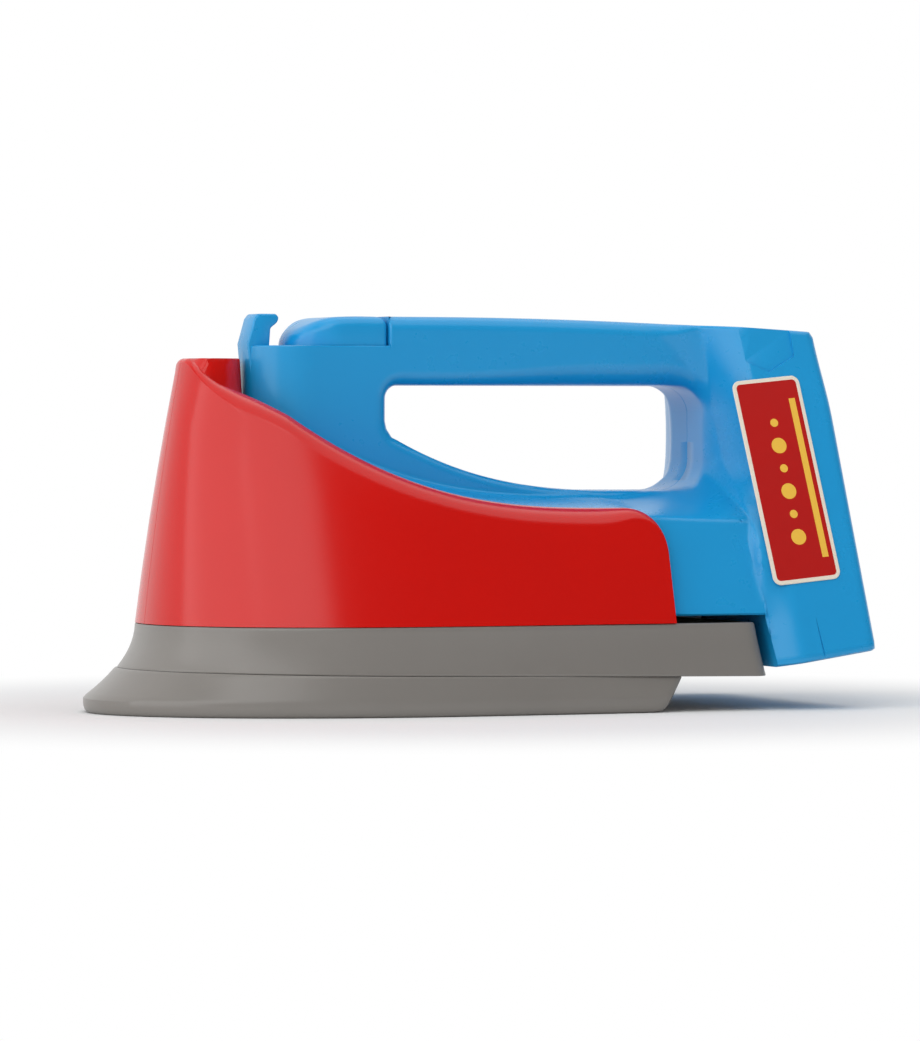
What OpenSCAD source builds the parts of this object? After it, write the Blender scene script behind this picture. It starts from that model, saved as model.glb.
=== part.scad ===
// Toy iron: hollow grey base, two red body halves, a two-part blue handle that
// closes over them, a spring-loaded thumb button and the screws that hold it.
// X runs from the nose (-X) to the heel (+X), the left side is -Y, up is +Z.
// The origin is under the middle of the iron, on the ironing face.

/* [Overall] */
// Length from the tip of the sole to the back of the heel
overall_length = 181; // [165:1:200]
// Height of the handle above the ironing face
overall_height = 91.8; // [88:0.2:100]
// Wall of the moulded shells
wall = 2.2; // [1.6:0.1:3]
// Gap between parts that slide or drop into each other
clearance = 0.3; // [0.2:0.05:0.5]

/* [Base] */
// Full width of the ironing face
sole_width = 91; // [80:1:100]
// Length of the ironing face along the middle
sole_length = 127.5; // [115:0.5:135]
// Height of the base at its seam with the body
base_height = 20.5; // [18:0.5:24]
// Height of the lower band, and of the gap under the back overhang
band_height = 8; // [6:0.5:10]
// How far ahead of the heel the skirt ends
skirt_gap = 5; // [4:0.5:8]
// Width of the skirt at the seam
skirt_width = 88; // [78:1:90]
// How far the lip at the nose reaches ahead of the skirt
lip_reach = 12.6; // [6:0.2:16]
// Height of the lip's edge
lip_edge = 3.6; // [2:0.2:5]
// Step between the lower band and the skirt above it
crease = 0.4; // [0.2:0.1:0.8]

/* [Body] */
// Height of the red nose
nose_height = 82; // [76:1:84]
// Angle by which the nose leans back
nose_lean = 10.2; // [4:0.2:14]
// Angle by which the sides lean in
side_lean = 16.7; // [8:0.1:20]
// Length over which the nose widens into the sides
nose_run = 60; // [45:1:75]
// Where the body ends, from the tip of the sole
body_end = 130.5; // [124:0.5:134]
// Where the high part of the nose ends
nose_top_end = 32; // [28:0.5:36]
// Height at which the swooping top edge starts behind the nose
swoop_high = 74.5; // [66:0.5:75]
// Height of the swooping edge at the back
swoop_low = 47.3; // [42:0.1:49]
// Where the swooping edge becomes level
swoop_end = 118; // [105:1:121]
// Radius of the rounded shoulder along the top edge
shoulder = 4.5; // [3:0.5:6]
// Radius of the sharper edge round the nose
nose_edge = 1.2; // [0.8:0.1:2]
// Radius of the lower back corner of that edge
back_corner = 9; // [6:0.5:12]

/* [Handle] */
// Width of the grip and of the loop
grip_width = 25; // [22:0.5:30]
// Thickness of the grip above the hand opening
grip_thickness = 16; // [14:0.5:19]
// Front of the handle block
block_front = 38.5; // [37:0.5:40]
// How far the ledge round the thumb button lies below the top
ledge_drop = 6.8; // [6:0.1:9]
// Front of the hand opening
opening_front = 70; // [68:0.5:76]
// How far ahead of the heel the hand opening ends
leg_length = 6.5; // [5:0.5:12]
// Width of the back leg where it meets the heel
leg_width = 34; // [28:0.5:38]
// Lowest part of the hand opening, at its back
opening_low = 51; // [50:0.5:55]
// Height of the hand opening at its front
opening_front_height = 11.1; // [10:0.1:16]

/* [Heel] */
// Length of the heel block from front to back
heel_length = 24; // [20:0.5:26]
// Half width of the heel block at its foot and at the top of the handle
heel_foot = 45; // [38:0.5:46]
heel_head = 21; // [18:0.5:26]
// Lowest height of the heel block, at its front
heel_low = 10.2; // [9:0.2:14]
// How much higher the foot is at the back
heel_tilt = 3.6; // [0:0.2:5]
// Angle by which the heel leans forward
heel_lean = 4.7; // [2:0.1:8]
// How far the heel block stands proud of the wall in front of it
heel_step = 3; // [2:0.2:5]
// Depth of the shield-shaped recess
recess = 0.6; // [0.3:0.1:1]

/* [Button] */
// Width and length of the thumb button
button_width = 14; // [11:0.5:16]
button_length = 21; // [17:0.5:21]
// Travel of the thumb button
button_travel = 1.6; // [0.8:0.1:2]
// Outer diameter and wire of its return spring
spring_d = 6; // [5:0.2:7]
spring_wire = 0.8; // [0.6:0.1:0.9]

/* [Screws and sticker] */
// Thread and head diameter of the self-tapping screws
screw_d = 3; // [2.6:0.1:3.5]
head_d = 5.6; // [5:0.1:6]
// Diameter of the screw bosses
boss_d = 8.4; // [8:0.1:9.5]
// Width, height and thickness of the sticker on the left of the heel
sticker_width = 18; // [12:0.5:19]
sticker_height = 48; // [30:1:50]
sticker_thick = 0.3; // [0.2:0.1:0.5]

/* [Hidden] */
$fn = 48;

blunt = 2.4;                                  // roundness of the nose in plan
tip_blunt = 2;                                // the same for the sole
sole_run = 72;                                // length over which the sole widens
back_taper = 4;                               // the skirt narrows this much to its back
tongue = 4;                                   // depth of the body's tongue inside the base
tongue_wall = 1.5;
seam = 0.2;                                   // step where the body meets the base
far = 400;
steps = 22;

skirt_length = overall_length - heel_length - skirt_gap;
opening_back = overall_length - heel_length - leg_length;
opening_rise = overall_height - grip_thickness - opening_front_height - opening_low;
ledge_height = overall_height - ledge_drop;
button_flange = 1.6;                          // the button's flange lies this far below the ledge
button_floor = ledge_height - button_flange - 1.9;
pocket_floor = button_floor - 4;
nose_slope = tan(nose_lean);
side_slope = tan(side_lean);
heel_slope = tan(heel_lean);
heel_high = heel_low + heel_tilt;
half_grip = grip_width / 2;
body_half = skirt_width / 2 - seam;
swoop_start = nose_top_end + 2.5;
heel_face = (heel_foot - heel_head) / (overall_height - heel_low);

// ---- outlines ------------------------------------------------------------
// Half width of a blunt-nosed outline at a place along it
function bullet_half(x, nose, run, half, n) =
    x <= nose ? 0 :
    x >= nose + run ? half :
    half * pow(1 - pow(1 - (x - nose) / run, n), 1 / n);

// Half outline as [x, half width], from the nose to the rounded back corner
function half_outline(nose, run, half, n, back, back_half, r) = concat(
    [for (i = [0 : steps])
        let (t = 90 * i / steps)
        [nose + run * (1 - pow(max(0, cos(t)), 2 / n)), half * pow(max(0, sin(t)), 2 / n)]],
    [for (i = [1 : 3])
        let (s = i / 4)
        [nose + run + (back - r - nose - run) * s, half - (half - back_half) * pow(s, 1.5)]],
    [for (i = [0 : 4])
        let (t = 90 * i / 4)
        [back - r + r * sin(t), back_half - r + r * cos(t)]]);

function both_sides(h) = concat(
    [for (p = h) [p[0], -p[1]]],
    [for (i = [len(h) - 1 : -1 : 1]) h[i]]);

function outline(nose, run, half, n, back, back_half, r) =
    both_sides(half_outline(nose, run, half, n, back, back_half, r));

function mix(a, b, f) = a + (b - a) * f;
function at_height(pts, z) = [for (p = pts) [p[0], p[1], z]];

// Solid between outlines that lie at rising heights, each a list of 3D points
module loft(levels) {
    n = len(levels[0]);
    m = len(levels);
    sides = [for (k = [0 : m - 2], i = [0 : n - 1])
        let (j = (i + 1) % n, a = k * n + i, b = k * n + j)
        each [[a, a + n, b + n], [a, b + n, b]]];
    polyhedron(
        points = [for (l = levels) each l],
        faces = concat([[for (i = [0 : n - 1]) i]], sides,
                       [[for (i = [n - 1 : -1 : 0]) (m - 1) * n + i]]),
        convexity = 6);
}

// Side view drawn in x and z, pushed out to a half width on each side
module side_view(pts, half) {
    rotate([90, 0, 0])
        linear_extrude(height = 2 * half, center = true)
            polygon(pts);
}

module left_half() {
    intersection() {
        children();
        translate([-far / 2, -far, -far / 2]) cube(far);
    }
}

module right_half() {
    intersection() {
        children();
        translate([-far / 2, 0, -far / 2]) cube(far);
    }
}

module placed() {
    translate([-overall_length / 2, 0, 0]) children();
}

function arc(cx, cz, r, from, to, n = 8) =
    [for (i = [0 : n]) let (t = mix(from, to, i / n)) [cx + r * cos(t), cz + r * sin(t)]];

// ---- screw places --------------------------------------------------------
block_screw_back = 15;                        // ahead of the hand opening
block_screw_drop = 9;                         // below the button's pocket
heel_screw_back = 14;                         // ahead of the back of the heel
heel_screw_drop = 24;                         // below the top
heel_screw_rise = 18;                         // above the heel's foot
wall_screw_back = 11;                         // behind the body
wall_screw_rise = 12;                         // above the base
nose_screw_back = 16;                         // behind the foot of the nose
nose_screw_rise = 27;                         // above the base
sole_screw_front = 23;                        // ahead of the hand opening
sole_screw_back = 17;                         // ahead of the back of the body
sole_screw_side = 7.2;                        // from the middle
screw_length = 16;
head_h = 2.4;
head_seat = 6;                                // from the parting plane to a head's seat
sole_seat = 2;                                // from the ironing face to a sole screw's head
pilot_depth = screw_length - head_h - head_seat;
// [x, height] of the screws that cross the handle, and the one in the nose
handle_screw_at = [[opening_front - block_screw_back, pocket_floor - block_screw_drop],
                   [overall_length - heel_screw_back, overall_height - heel_screw_drop],
                   [overall_length - heel_screw_back, heel_high + heel_screw_rise],
                   [body_end + wall_screw_back, base_height + wall_screw_rise]];
body_screw_at = [[lip_reach + nose_screw_back, base_height + nose_screw_rise]];
// [x, y] of the screws that come up through the sole
sole_screw_at = [for (x = [opening_front - sole_screw_front, body_end - sole_screw_back],
                      y = [-sole_screw_side, sole_screw_side]) [x, y]];
boss_drop = 9;
boss_foot = base_height - boss_drop;          // where the bosses of base and handle meet
pilot = screw_d / 2;
clear_r = screw_d / 2 + clearance;
head_r = head_d / 2;
boss_r = boss_d / 2;

module across(at, r, from, to) {
    translate([at[0], from, at[1]]) rotate([-90, 0, 0]) cylinder(h = to - from, r = r);
}

// ---- base ----------------------------------------------------------------
function skirt(inset) = outline(lip_reach + inset, nose_run, skirt_width / 2 - inset, blunt,
    skirt_length - inset, skirt_width / 2 - back_taper - inset, 4);
function sole(inset) = outline(inset, sole_run, sole_width / 2 - inset, tip_blunt,
    skirt_length - inset, sole_width / 2 - back_taper / 2 - inset, 4);
// Concave sweep from the lip's edge up to the skirt
function flare(z) = 1 - pow(1 - min(1, (z - lip_edge) / (base_height - lip_edge)), 3);

function band_level(z, inset) = at_height(
    let (a = sole(inset), b = skirt(inset - crease), f = flare(max(z, lip_edge)))
    [for (i = [0 : len(a) - 1]) mix(a[i], b[i], f)], z);
function skirt_level(z, inset, draft) = at_height(
    let (a = sole(inset + crease), b = skirt(inset), f = flare(z))
    [for (i = [0 : len(a) - 1])
        let (p = mix(a[i], b[i], f))
        [p[0] + (p[0] > skirt_length - 8 ? draft : 0), p[1]]], z);

base_lean = 2;                                // the back of the skirt leans this much
function lean_at(z) = base_lean * (base_height - z) / (base_height - band_height);

module base_outer() {
    loft([for (z = [band_height - 0.01, 9.5, 11, 13, 16, base_height])
        skirt_level(z, 0, lean_at(z))]);
    intersection() {
        loft([band_level(0, 1), band_level(0.5, 0.3), band_level(1.4, 0),
              band_level(lip_edge, 0), band_level(4.4, 0), band_level(5.4, 0),
              band_level(6.6, 0), band_level(band_height, 0)]);
        side_view([[-1, -1], [sole_length, -1], [sole_length, 0],
                   [sole_length + 5, band_height + 1], [-1, band_height + 1]], far / 4);
    }
}

module base_hollow() {
    floor_z = band_height + wall;
    loft([for (z = [floor_z, 13, 16, base_height])
        at_height(skirt_level(z, wall + crease, 0), z)]);
    translate([0, 0, base_height - 0.01])
        linear_extrude(height = 2) polygon(skirt(wall + crease));
    // lower hollow ahead of the slanted back end, over the sole's own floor
    intersection() {
        loft([band_level(wall, wall + 1), band_level(band_height + wall + 0.1, wall + 1)]);
        side_view([[lip_reach + wall + 2, 0], [sole_length - wall - 1, 0],
                   [sole_length - wall + 2, band_height + wall + 1],
                   [lip_reach + wall + 2, band_height + wall + 1]], skirt_width / 2 - wall - 2);
    }
}

module soleplate() {
    color([0.62, 0.60, 0.58])
    placed()
    difference() {
        union() {
            difference() {
                base_outer();
                base_hollow();
            }
            for (p = sole_screw_at)
                translate([p[0], p[1], wall / 2]) cylinder(h = boss_foot - wall / 2, r = boss_r);
        }
        for (p = sole_screw_at) {
            translate([p[0], p[1], -1]) cylinder(h = far, r = clear_r);
            translate([p[0], p[1], -1]) cylinder(h = 1 + head_h + sole_seat, r = head_r + clearance);
        }
    }
}

// ---- body ----------------------------------------------------------------
function nose_x(z) = lip_reach + (z - base_height) * nose_slope;
function side_half(z) = body_half - (z - base_height) * side_slope;
function body_level(z, inset) = at_height(
    outline(nose_x(z) + inset, nose_run, side_half(z) - inset, blunt,
            body_end + 30, side_half(z) - back_taper - inset, 3), z);
// Height of the top edge
function swoop(x) = swoop_low + (swoop_high - swoop_low)
    * pow(1 - min(1, max(0, (x - swoop_start) / (swoop_end - swoop_start))), 2.7);

function swoop_line(x0, x1, n, drop) =
    [for (i = [0 : n]) let (x = mix(x0, x1, pow(i / n, 1.3))) [x, swoop(x) - drop]];

// Side view of the body, lowered by drop
function body_side(drop) = concat(
    [[0, 0], [0, nose_height - drop], [nose_top_end, nose_height - drop]],
    swoop_line(swoop_start, body_end - back_corner, 20, drop),
    arc(body_end - back_corner, swoop_low - back_corner - drop, back_corner, 80, 0, 7),
    [[body_end, 0]]);

// Height of the body's top surface along its length
function top_at(x) =
    x <= nose_top_end ? nose_height :
    x <= swoop_start ? mix(nose_height, swoop_high, (x - nose_top_end) / (swoop_start - nose_top_end)) :
    x <= body_end - back_corner ? swoop(x) :
    swoop_low - back_corner
        + sqrt(max(0, pow(back_corner, 2) - pow(x - body_end + back_corner, 2)));

// The shoulder is sharp at the nose, full along the swoop and sharp again at the back
function shoulder_r(x) = mix(nose_edge, shoulder,
    min(1, max(0, (x - nose_top_end) / 22)) * min(1, max(0.05, (body_end - 1 - x) / 16)));

// Edge of the side wall and the top surface, at a share of the way back
edge_steps = 40;
function edge_x(s) = mix(nose_x(nose_height), body_end - 0.4, s);
function edge_half(x, z) =
    x < nose_x(z) ? 0 :
    bullet_half(x, nose_x(z), nose_run, side_half(z), blunt) - back_narrow(x, z);
function back_narrow(x, z) =
    let (start = nose_x(z) + nose_run, full = body_end + 30 - 3 - start)
    x <= start ? 0 : back_taper * pow((x - start) / full, 1.5);

// One station of the strip that rounds the shoulder: outside corner, then the round
function shoulder_ring(x, z, w, nx, ny) =
    let (r = shoulder_r(x), k = 5,
         prof = concat([[-3, r], [-3, -3], [r, -3]],
                       [for (i = [0 : k]) let (t = 90 * i / k) [r - r * sin(t), r - r * cos(t)]]))
    [for (p = prof)
        let (in = p[0] - p[1] * side_slope, px = x - nx * in)
        [px, w - ny * in, z - p[1]]];

function shoulder_half() = [for (i = [0 : edge_steps])
    let (x = edge_x(pow(i / edge_steps, 1.6)), z = top_at(x), w = edge_half(x, z),
         x2 = x + 0.2, w2 = edge_half(x2, z), x1 = max(nose_x(z), x - 0.05), w1 = edge_half(x1, z),
         dx = x2 - x1, dw = w2 - w1, d = sqrt(dx * dx + dw * dw))
    i == 0 ? shoulder_ring(nose_x(z), z, 0, -1, 0) : shoulder_ring(x, z, w, -dw / d, dx / d)];

function mirrored(ring) = [for (p = ring) [p[0], -p[1], p[2]]];

module shoulder_cut() {
    h = shoulder_half();
    rings = concat([for (i = [len(h) - 1 : -1 : 1]) mirrored(h[i])], h);
    loft(rings);
}

module body_outer() {
    intersection() {
        loft([body_level(base_height, 0), body_level(nose_height + 1, 0)]);
        union() {
            side_view(body_side(0), far / 4);
            // the nose reaches back to the rounded front of the handle
            translate([0, -half_grip - 1, 0]) cube([block_front + 4, grip_width + 2, nose_height]);
        }
    }
}

// Tongue under the body that drops into the base
module body_tongue() {
    in = wall + crease + clearance;
    difference() {
        union() {
            translate([0, 0, base_height - tongue]) linear_extrude(height = tongue + 0.6)
                polygon(skirt(in));
            translate([0, 0, base_height]) linear_extrude(height = wall)
                polygon(skirt(wall / 2 + seam));
        }
        translate([0, 0, base_height - tongue - 1]) linear_extrude(height = tongue + wall + 2)
            polygon(skirt(in + tongue_wall));
        translate([body_end - wall, -far / 2, 0]) cube(far);
    }
}

module body_hollow() {
    intersection() {
        loft([body_level(base_height - 1, wall), body_level(nose_height - wall, wall)]);
        side_view(concat(
            [[0, 0], [0, nose_height - wall], [nose_top_end - 1, nose_height - wall]],
            swoop_line(nose_top_end + 0.5, body_end - back_corner, 12, wall),
            [[far, swoop_low - wall], [far, 0]]), far / 4);
    }
}

module block_plan(grow) {
    union() {
        translate([block_front + half_grip, 0]) circle(r = half_grip + grow, $fn = 64);
        translate([block_front + half_grip, -half_grip - grow])
            square([opening_front - block_front, grip_width + 2 * grow]);
    }
}

// The handle's saddle lies in a rebate of the body's top and holds the body down
saddle_front = block_front + 2;
saddle_lap = 2;                               // width of the rebate
saddle_rim = 1;                               // depth of the rebate
function saddle_half(x, grow) = max(0.5, edge_half(x, swoop(x)) - shoulder + 0.3 + grow);
function saddle_plan(grow) =
    let (xs = [for (i = [0 : 16]) mix(saddle_front, body_end - 1, pow(i / 16, 1.1))])
    concat([for (x = xs) [x, -saddle_half(x, grow)]],
           [for (i = [len(xs) - 1 : -1 : 0]) [xs[i], saddle_half(xs[i], grow)]]);

// A slab under the top edge, from one drop to another
module saddle_slab(grow, top_drop, low_drop) {
    n = 16;
    back = body_end - back_corner;
    intersection() {
        linear_extrude(height = far) polygon(saddle_plan(grow));
        side_view(concat(
            swoop_line(saddle_front - 1, back, n, top_drop),
            [[body_end, swoop_low - top_drop], [body_end, swoop_low - low_drop]],
            [for (i = [n : -1 : 0])
                let (x = mix(saddle_front - 1, back, i / n)) [x, swoop(x) - low_drop]]), far / 4);
    }
}

module body_shell() {
    difference() {
        union() {
            difference() {
                body_outer();
                body_hollow();
            }
            body_tongue();
        }
        translate([0, 0, base_height + 8]) linear_extrude(height = far) block_plan(clearance);
        translate([0, 0, base_height + 8]) linear_extrude(height = far)
            polygon(saddle_plan(clearance - saddle_lap));
        saddle_slab(clearance, -far / 8, saddle_rim + clearance);
        shoulder_cut();
    }
}

module nose_boss(length_from, length_to) {
    for (p = body_screw_at) across(p, boss_r, length_from, length_to);
}

module body_left() {
    color([0.80, 0.07, 0.03])
    placed()
    difference() {
        left_half() union() {
            body_shell();
            intersection() {
                nose_boss(-far / 4, 0);
                body_outer();
            }
        }
        for (p = body_screw_at) across(p, pilot, -pilot_depth, 1);
    }
}

module body_right() {
    color([0.80, 0.07, 0.03])
    placed()
    difference() {
        right_half() union() {
            body_shell();
            intersection() {
                nose_boss(0, far / 4);
                body_outer();
            }
        }
        for (p = body_screw_at) {
            across(p, clear_r, -1, far / 4);
            across(p, head_r + clearance, head_seat, far / 4);
        }
    }
}

// ---- handle --------------------------------------------------------------
function top_line(x) = overall_height - pow(max(0, x - 80), 2) / 2700;
function heel_front(z) = overall_length - heel_length - (z - heel_high) * heel_slope;
function heel_back(z) = overall_length - (z - heel_high) * heel_slope;
function heel_half(z) = heel_foot - (z - heel_low) * heel_face;
function heel_level(z, inset, front_r) =
    let (f = heel_front(z) + inset, b = heel_back(z) - inset, w = heel_half(z) - inset,
         s = [for (i = [0 : 5])
             let (t = 90 * i / 5) [f + front_r - front_r * cos(t), w - front_r + front_r * sin(t)]],
         e = [for (i = [0 : 4]) let (t = 90 * i / 4) [b - 2.5 + 2.5 * sin(t), w - 2.5 + 2.5 * cos(t)]],
         h = concat(s, e))
    at_height(concat([for (p = h) [p[0], -p[1]]],
                     [for (i = [len(h) - 1 : -1 : 0]) h[i]]), z);
// The wall ahead of the heel, narrower by the heel's step
function wall_level(z, x0, inset) =
    let (w = heel_half(z) - heel_step - inset)
    at_height([[x0 + inset, -w + 2], [x0 + inset + 2, -w], [heel_front(z) + 6, -w],
               [heel_front(z) + 6, w], [x0 + inset + 2, w], [x0 + inset, w - 2]], z);

function grip_top(n) = [for (i = [0 : n])
    let (x = mix(opening_front + 0.4, heel_back(overall_height) + 1, i / n)) [x, top_line(x)]];

// Closed loop of the handle in side view, opening left to opening_view
function loop_view() = concat(
    [[block_front, swoop_high - 16], [block_front, ledge_height], [opening_front + 0.4, ledge_height]],
    grip_top(12),
    [[heel_front(base_height) + 4, base_height + 1.7], [body_end - 1, base_height + 1.7],
     [body_end - 1, swoop_low - 7], [swoop_end - 12, swoop_low - 6],
     [opening_front + 4, swoop(opening_front + 4) - 7]]);

function opening_floor(x) = opening_low + opening_rise
    * pow(1 - min(1, max(0, (x - opening_front) / 64)), 2.8);

function opening_view(grow) =
    let (t = overall_height - grip_thickness + grow, f = opening_front - grow, b = opening_back + grow)
    concat(
        arc(f + 3, t - 3, 3, 180, 90, 5),
        arc(b - 5, t - 5, 5, 90, 0, 5),
        arc(b - 7, opening_low - grow + 7, 7, 0, -80, 5),
        [for (i = [0 : 12])
            let (x = mix(b - 10, f + 1.5, i / 12)) [x, opening_floor(x) - grow]],
        [[f, opening_floor(f) + 2.5 - grow]]);

// The back leg widens from the grip into a valley ahead of the heel, and into the
// low wall at its foot
leg_foot = opening_low + 5;
leg_spread = 10;
function leg_half(z) = mix(leg_width / 2, heel_half(z) - heel_step,
    pow(min(1, max(0, (leg_foot + 6 - z) / (leg_spread + 6))), 2));
function fairing_level(z) =
    let (f = opening_back - max(0, leg_foot - z) * 1.1 - max(0, z - leg_foot - 20) * 0.5,
         v = heel_front(z) - 2, w = leg_half(z))
    at_height([[f, -half_grip], [v, -w], [v + 8, -w], [v + 8, w], [v, w], [f, half_grip]], z);

module saddle() {
    saddle_slab(0, -0.4, saddle_rim);
    saddle_slab(-saddle_lap, 0, wall + 2);
}

module heel_solid(inset) {
    intersection() {
        loft([heel_level(heel_low - 4, inset, 4), heel_level(overall_height + 3, inset, 4)]);
        side_view([[heel_front(0) - 12, heel_low + inset - 0.6], [heel_front(0), heel_low + inset],
                   [overall_length + 0.01, heel_high + inset], [overall_length + 4, heel_high + inset],
                   [overall_length + 4, top_line(overall_length) - inset],
                   for (i = [0 : 6]) let (x = mix(overall_length, heel_front(overall_height) - 12, i / 6))
                       [x, top_line(x) - inset]], far / 4);
    }
}

// The wall's foot is set back, so that a dark line shows above the base
module rear_foot() {
    z0 = base_height - 5;
    in = wall + crease + clearance;
    w = skirt_width / 2 - back_taper - in - 0.5;
    translate([body_end + 1, -w, z0])
        cube([skirt_length - in - body_end - 3, 2 * w, base_height + wall + 2 - z0]);
}

module rear_wall(inset) {
    z0 = base_height + 1.7;
    loft([wall_level(z0 + (inset > 0 ? -3 : 0), body_end - 1, inset),
          wall_level(swoop_low - 2 - inset, body_end - 1, inset)]);
}

// Shield-shaped recess at the top of the heel's sides, and the crease at its foot
function shield_view() =
    let (f = heel_front(overall_height), t = overall_height + 2)
    [[f + 2, t], [f + 3.2, t - 11.5], [f + heel_length * 0.44, t - 14.8],
     [f + heel_length * 0.73, t - 11], [f + heel_length * 0.7, t]];

module heel_marks() {
    difference() {
        intersection() {
            side_view(shield_view(), far / 4);
            heel_solid(-0.5);
        }
        heel_solid(recess);
    }
    mid = heel_front(heel_low) + heel_length * 0.42;
    difference() {
        side_view([[mid, heel_low - 2], [mid + 0.7, heel_low - 2], [mid - 1.4, heel_low + 12]], far / 4);
        heel_solid(recess);
    }
}

module hook() {
    front = block_front + 1.2;
    side_view([[front - 0.6, ledge_height - 2], [front, overall_height - 0.2],
               [front + 0.8, overall_height + 0.7],
               [front + 6.6, overall_height + 0.7], [front + 7.4, overall_height - 0.4],
               [front + 6.8, overall_height - 1.6], [front + 5, overall_height - 3],
               [front + 4.8, ledge_height - 2]], 4);
}

button_front = opening_front - 0.6 - button_length;

module button_plan(grow) {
    hull_r = button_width / 2 + grow;
    for (x = [button_front + button_width / 2, button_front + button_length - button_width / 2])
        translate([x, 0]) circle(r = hull_r, $fn = 48);
    translate([button_front + button_width / 2, -hull_r])
        square([button_length - button_width, 2 * hull_r]);
}

module button_pocket() {
    translate([0, 0, ledge_height - button_flange - 0.01])
        linear_extrude(height = far) button_plan(clearance);
    translate([0, 0, pocket_floor])
        linear_extrude(height = ledge_height - button_flange - pocket_floor) button_plan(1 + clearance);
}

module handle_form() {
    difference() {
        union() {
            intersection() {
                side_view(loop_view(), half_grip);
                translate([0, 0, -1]) linear_extrude(height = far) union() {
                    block_plan(0);
                    translate([opening_front - 5, -half_grip]) square([far, grip_width]);
                }
            }
            saddle();
            rear_wall(0);
            rear_foot();
            intersection() {
                loft([for (z = concat([base_height + wall, base_height + 14],
                                      [for (i = [0 : 6]) leg_foot - leg_spread + i * 3],
                                      [leg_foot + 20, overall_height + wall])) fairing_level(z)]);
                side_view([[0, base_height + 1.7], [far, base_height + 1.7],
                           for (i = [0 : 8]) let (x = mix(far / 2, opening_front, i / 8)) [x, top_line(x)],
                           [0, overall_height]], far / 4);
            }
            heel_solid(0);
            hook();
            for (p = sole_screw_at)
                translate([p[0], p[1], boss_foot]) cylinder(h = swoop(p[0]) - boss_foot - 1, r = boss_r);
        }
        side_view(opening_view(0), far / 4);
        heel_marks();
        handle_hollow();
        button_pocket();
        for (p = sole_screw_at)
            translate([p[0], p[1], boss_foot - 1]) cylinder(h = screw_length, r = pilot);
    }
}

module handle_hollow() {
    difference() {
        union() {
            intersection() {
                heel_solid(wall);
                translate([opening_back + wall + 2, -far / 2, 0]) cube(far);
            }
            rear_wall(wall);
        }
        for (p = handle_screw_at) across(p, boss_r, -far / 2, far / 2);
        translate([heel_front(heel_low) - 3, -far / 2, 0]) cube([wall + 3, far, base_height + wall]);
    }
}

module handle_left() {
    color([0.16, 0.55, 0.78])
    placed()
    difference() {
        left_half() handle_form();
        for (p = handle_screw_at) across(p, pilot, -pilot_depth, 1);
    }
}

module handle_right() {
    color([0.16, 0.55, 0.78])
    placed()
    difference() {
        right_half() handle_form();
        for (p = handle_screw_at) {
            across(p, clear_r, -1, far / 4);
            across(p, head_r + clearance, head_seat, far / 4);
        }
    }
}

// ---- button --------------------------------------------------------------
module thumb_button() {
    color([0.16, 0.55, 0.78])
    placed()
    difference() {
        union() {
            intersection() {
                translate([0, 0, button_floor]) linear_extrude(height = far) button_plan(0);
                side_view([[button_front - 1, button_floor - 1], [button_front - 1, overall_height - 4],
                           [button_front + 5.4, overall_height - 0.1], [button_front + 7, overall_height],
                           [opening_front + 5, overall_height],
                           [opening_front + 5, button_floor - 1]], half_grip);
            }
            translate([0, 0, button_floor])
                linear_extrude(height = ledge_height - button_flange - 0.1 - button_floor) button_plan(1);
        }
        translate([button_front + button_length / 2, 0, button_floor - 1])
            difference() {
                cylinder(h = 3, r = spring_d / 2 + 0.3);
                cylinder(h = 3, r = spring_d / 2 - spring_wire - 0.3);
            }
    }
}

spring_top = button_floor + 2 - 0.05;
function coil_point(t, turns, r, z0, z1) =
    [r * cos(360 * turns * t), r * sin(360 * turns * t), mix(z0, z1, t)];

module button_spring() {
    color([0.75, 0.75, 0.75])
    placed()
    translate([button_front + button_length / 2, 0, 0]) {
        turns = 4.5;
        rings = 54;
        sides = 6;
        w = spring_wire / 2;
        r = spring_d / 2 - w;
        z0 = pocket_floor + w + 0.05;
        z1 = spring_top - w;
        pts = [for (i = [0 : rings], j = [0 : sides - 1])
            let (c = coil_point(i / rings, turns, r, z0, z1),
                 a = 360 * turns * i / rings, b = 360 * j / sides)
            [c[0] + w * cos(b) * cos(a), c[1] + w * cos(b) * sin(a), c[2] + w * sin(b)]];
        polyhedron(points = pts, convexity = 8, faces = concat(
            [[for (j = [0 : sides - 1]) j]],
            [for (i = [0 : rings - 1], j = [0 : sides - 1])
                let (a = i * sides + j, b = i * sides + (j + 1) % sides)
                each [[a, a + sides, b + sides], [a, b + sides, b]]],
            [[for (j = [sides - 1 : -1 : 0]) rings * sides + j]]));
    }
}

// ---- screws and sticker --------------------------------------------------
module screw() {
    // head at the origin, thread along +Z
    difference() {
        union() {
            cylinder(h = head_h, r = head_r);
            cylinder(h = screw_length, r = screw_d / 2 - 0.05);
        }
        for (a = [0, 90])
            rotate([0, 0, a]) translate([-1.6, -0.35, -1]) cube([3.2, 0.7, 2.2]);
    }
}

module cross_screws(places) {
    color([0.72, 0.72, 0.74])
    placed()
    for (p = places)
        translate([p[0], head_seat + head_h, p[1]]) rotate([90, 0, 0]) screw();
}

module handle_screws() {
    cross_screws(handle_screw_at);
}

module body_screw() {
    cross_screws(body_screw_at);
}

module sole_screws() {
    color([0.72, 0.72, 0.74])
    placed()
    for (p = sole_screw_at)
        translate([p[0], p[1], sole_seat]) screw();
}

module heel_sticker() {
    mid_z = 53;
    tilt = atan(heel_face);
    color([0.70, 0.12, 0.06])
    placed()
    translate([heel_front(mid_z) + heel_length / 2 - 0.6, -heel_half(mid_z), mid_z])
        rotate([-tilt, 0, 0])
            rotate([90, 0, 0])
                rotate([0, 0, heel_lean])
                    linear_extrude(height = sticker_thick)
                        sticker_plan(2);
}

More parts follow.
